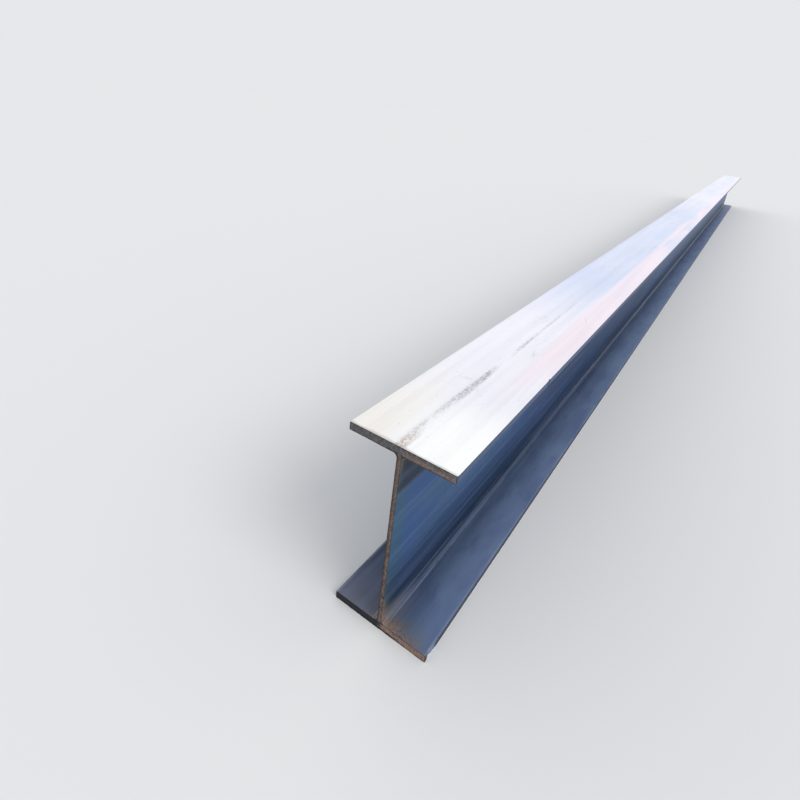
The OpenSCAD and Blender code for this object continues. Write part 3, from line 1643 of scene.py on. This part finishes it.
@dataclass(frozen=True)
class Studio:
    """A plain pale floor, an even sky, and one broad soft lamp far off."""

    floor_half: float = 90.0
    floor_color: Color = paint(213, 212, 210)
    backdrop: Color = (0.789, 0.803, 0.823)
    sky_low: Color = (1.0, 1.0, 1.02)
    sky_high: Color = (0.8, 0.86, 0.95)
    low_strength: float = 1.25
    high_strength: float = 0.85
    sky_rise: tuple[float, float] = (0.35, 0.95)
    lamp_from: tuple[float, float, float] = (-0.2, -1.0, 1.0)
    lamp_spread: float = math.radians(32)
    lamp_strength: float = 1.2

    def build(self) -> None:
        """Makes the floor, the sky and the lamp."""
        self.lay_floor()
        self.light_sky()
        self.hang_lamp()
        bpy.context.scene.view_settings.view_transform = "Standard"

    def lay_floor(self) -> None:
        """Lays the floor under the member."""
        half = self.floor_half
        mesh = bpy.data.meshes.new("studio_floor")
        corners = [(-half, -half, 0), (half, -half, 0), (half, half, 0), (-half, half, 0)]
        mesh.from_pydata(corners, [], [(0, 1, 2, 3)])
        floor = bpy.data.objects.new("studio_floor", mesh)
        bpy.context.scene.collection.objects.link(floor)
        material = bpy.data.materials.new("pale_floor")
        material.use_nodes = True
        shader = material.node_tree.nodes["Principled BSDF"]
        shader.inputs["Base Color"].default_value = (*self.floor_color, 1.0)
        shader.inputs["Roughness"].default_value = 1.0
        shader.inputs["Specular IOR Level"].default_value = 0.0
        mesh.materials.append(material)

    def light_sky(self) -> None:
        """Lights the scene from all round, brightest low down, before a backdrop like the floor."""
        world = bpy.data.worlds.new("studio_sky")
        world.use_nodes = True
        bpy.context.scene.world = world
        g = Graph(world.node_tree)
        _, _, up = g.split(g.node("TexCoord").outputs["Generated"])
        rise = g.fade(up, *self.sky_rise)
        sky = world.node_tree.nodes["Background"]
        g.feed(sky.inputs["Color"], g.mix(rise, self.sky_low, self.sky_high))
        fall = self.high_strength - self.low_strength
        g.feed(sky.inputs["Strength"], g.line(rise, fall, self.low_strength))
        seen = g.node("Background")
        g.feed(seen.inputs["Color"], self.backdrop)
        choice = g.node("MixShader")
        g.feed(choice.inputs[0], g.node("LightPath").outputs["Is Camera Ray"])
        g.feed(choice.inputs[1], sky.outputs[0])
        g.feed(choice.inputs[2], seen.outputs[0])
        g.feed(world.node_tree.nodes["World Output"].inputs["Surface"], choice.outputs[0])

    def hang_lamp(self) -> None:
        """Hangs the soft lamp on the open side of the member, half-way up the sky."""
        data = bpy.data.lights.new("soft_lamp", "SUN")
        data.angle = self.lamp_spread
        data.energy = self.lamp_strength
        lamp = bpy.data.objects.new("soft_lamp", data)
        bpy.context.scene.collection.objects.link(lamp)
        place = Vector(self.lamp_from)
        turn = place.to_track_quat("Z", "Y").to_matrix().to_4x4()
        lamp.matrix_world = Matrix.Translation(place) @ turn


@dataclass(frozen=True)
class Viewpoint:
    """Where the member is seen from: close behind its near end, a little above and to its right."""

    behind: float = 0.865
    beside: float = 0.504
    above: float = 1.334
    heading: float = math.radians(32.36)
    dip: float = math.radians(21.22)
    lean: float = math.radians(6.36)
    focal_share: float = 0.652
    rise_shift: float = -0.12
    sensor: float = 36.0
    sight: float = 400.0

    def build(self, low: Vector) -> bpy.types.Object:
        """Makes the camera.

        Args:
            low: The lowest corner of the member's box, at its near end.

        Returns:
            The camera.
        """
        data = bpy.data.cameras.new("viewpoint")
        data.sensor_width = self.sensor
        data.lens = self.focal_share * self.sensor
        data.shift_y = self.rise_shift
        data.clip_end = self.sight
        camera = bpy.data.objects.new("viewpoint", data)
        bpy.context.scene.collection.objects.link(camera)
        ahead = Vector(
            (
                math.cos(self.dip) * math.cos(self.heading),
                math.cos(self.dip) * math.sin(self.heading),
                -math.sin(self.dip),
            )
        )
        turn = ahead.to_track_quat("-Z", "Y").to_matrix()
        turn = Matrix.Rotation(self.lean, 3, -ahead) @ turn
        place = Vector((low.x - self.behind, -self.beside, self.above))
        camera.matrix_world = Matrix.Translation(place) @ turn.to_4x4()
        bpy.context.scene.camera = camera
        return camera


# ---------------------------------------------------------------------------
# Putting it together
# ---------------------------------------------------------------------------


def main() -> None:
    """Builds the camera, the studio and the member, and logs each piece."""
    logging.basicConfig(level=logging.INFO, format="%(name)s: %(message)s")
    low, high = (Vector(corner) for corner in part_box(NODE))
    Viewpoint().build(low)
    Studio().build()

    member = Member(low, high)
    piece = member.build()
    member.dress(piece)
    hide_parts(NODE)
    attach(piece, BODY)
    log.info("%s: %d faces, stands for %s", piece.name, len(piece.data.polygons), NODE)


if __name__ == "__main__":
    main()
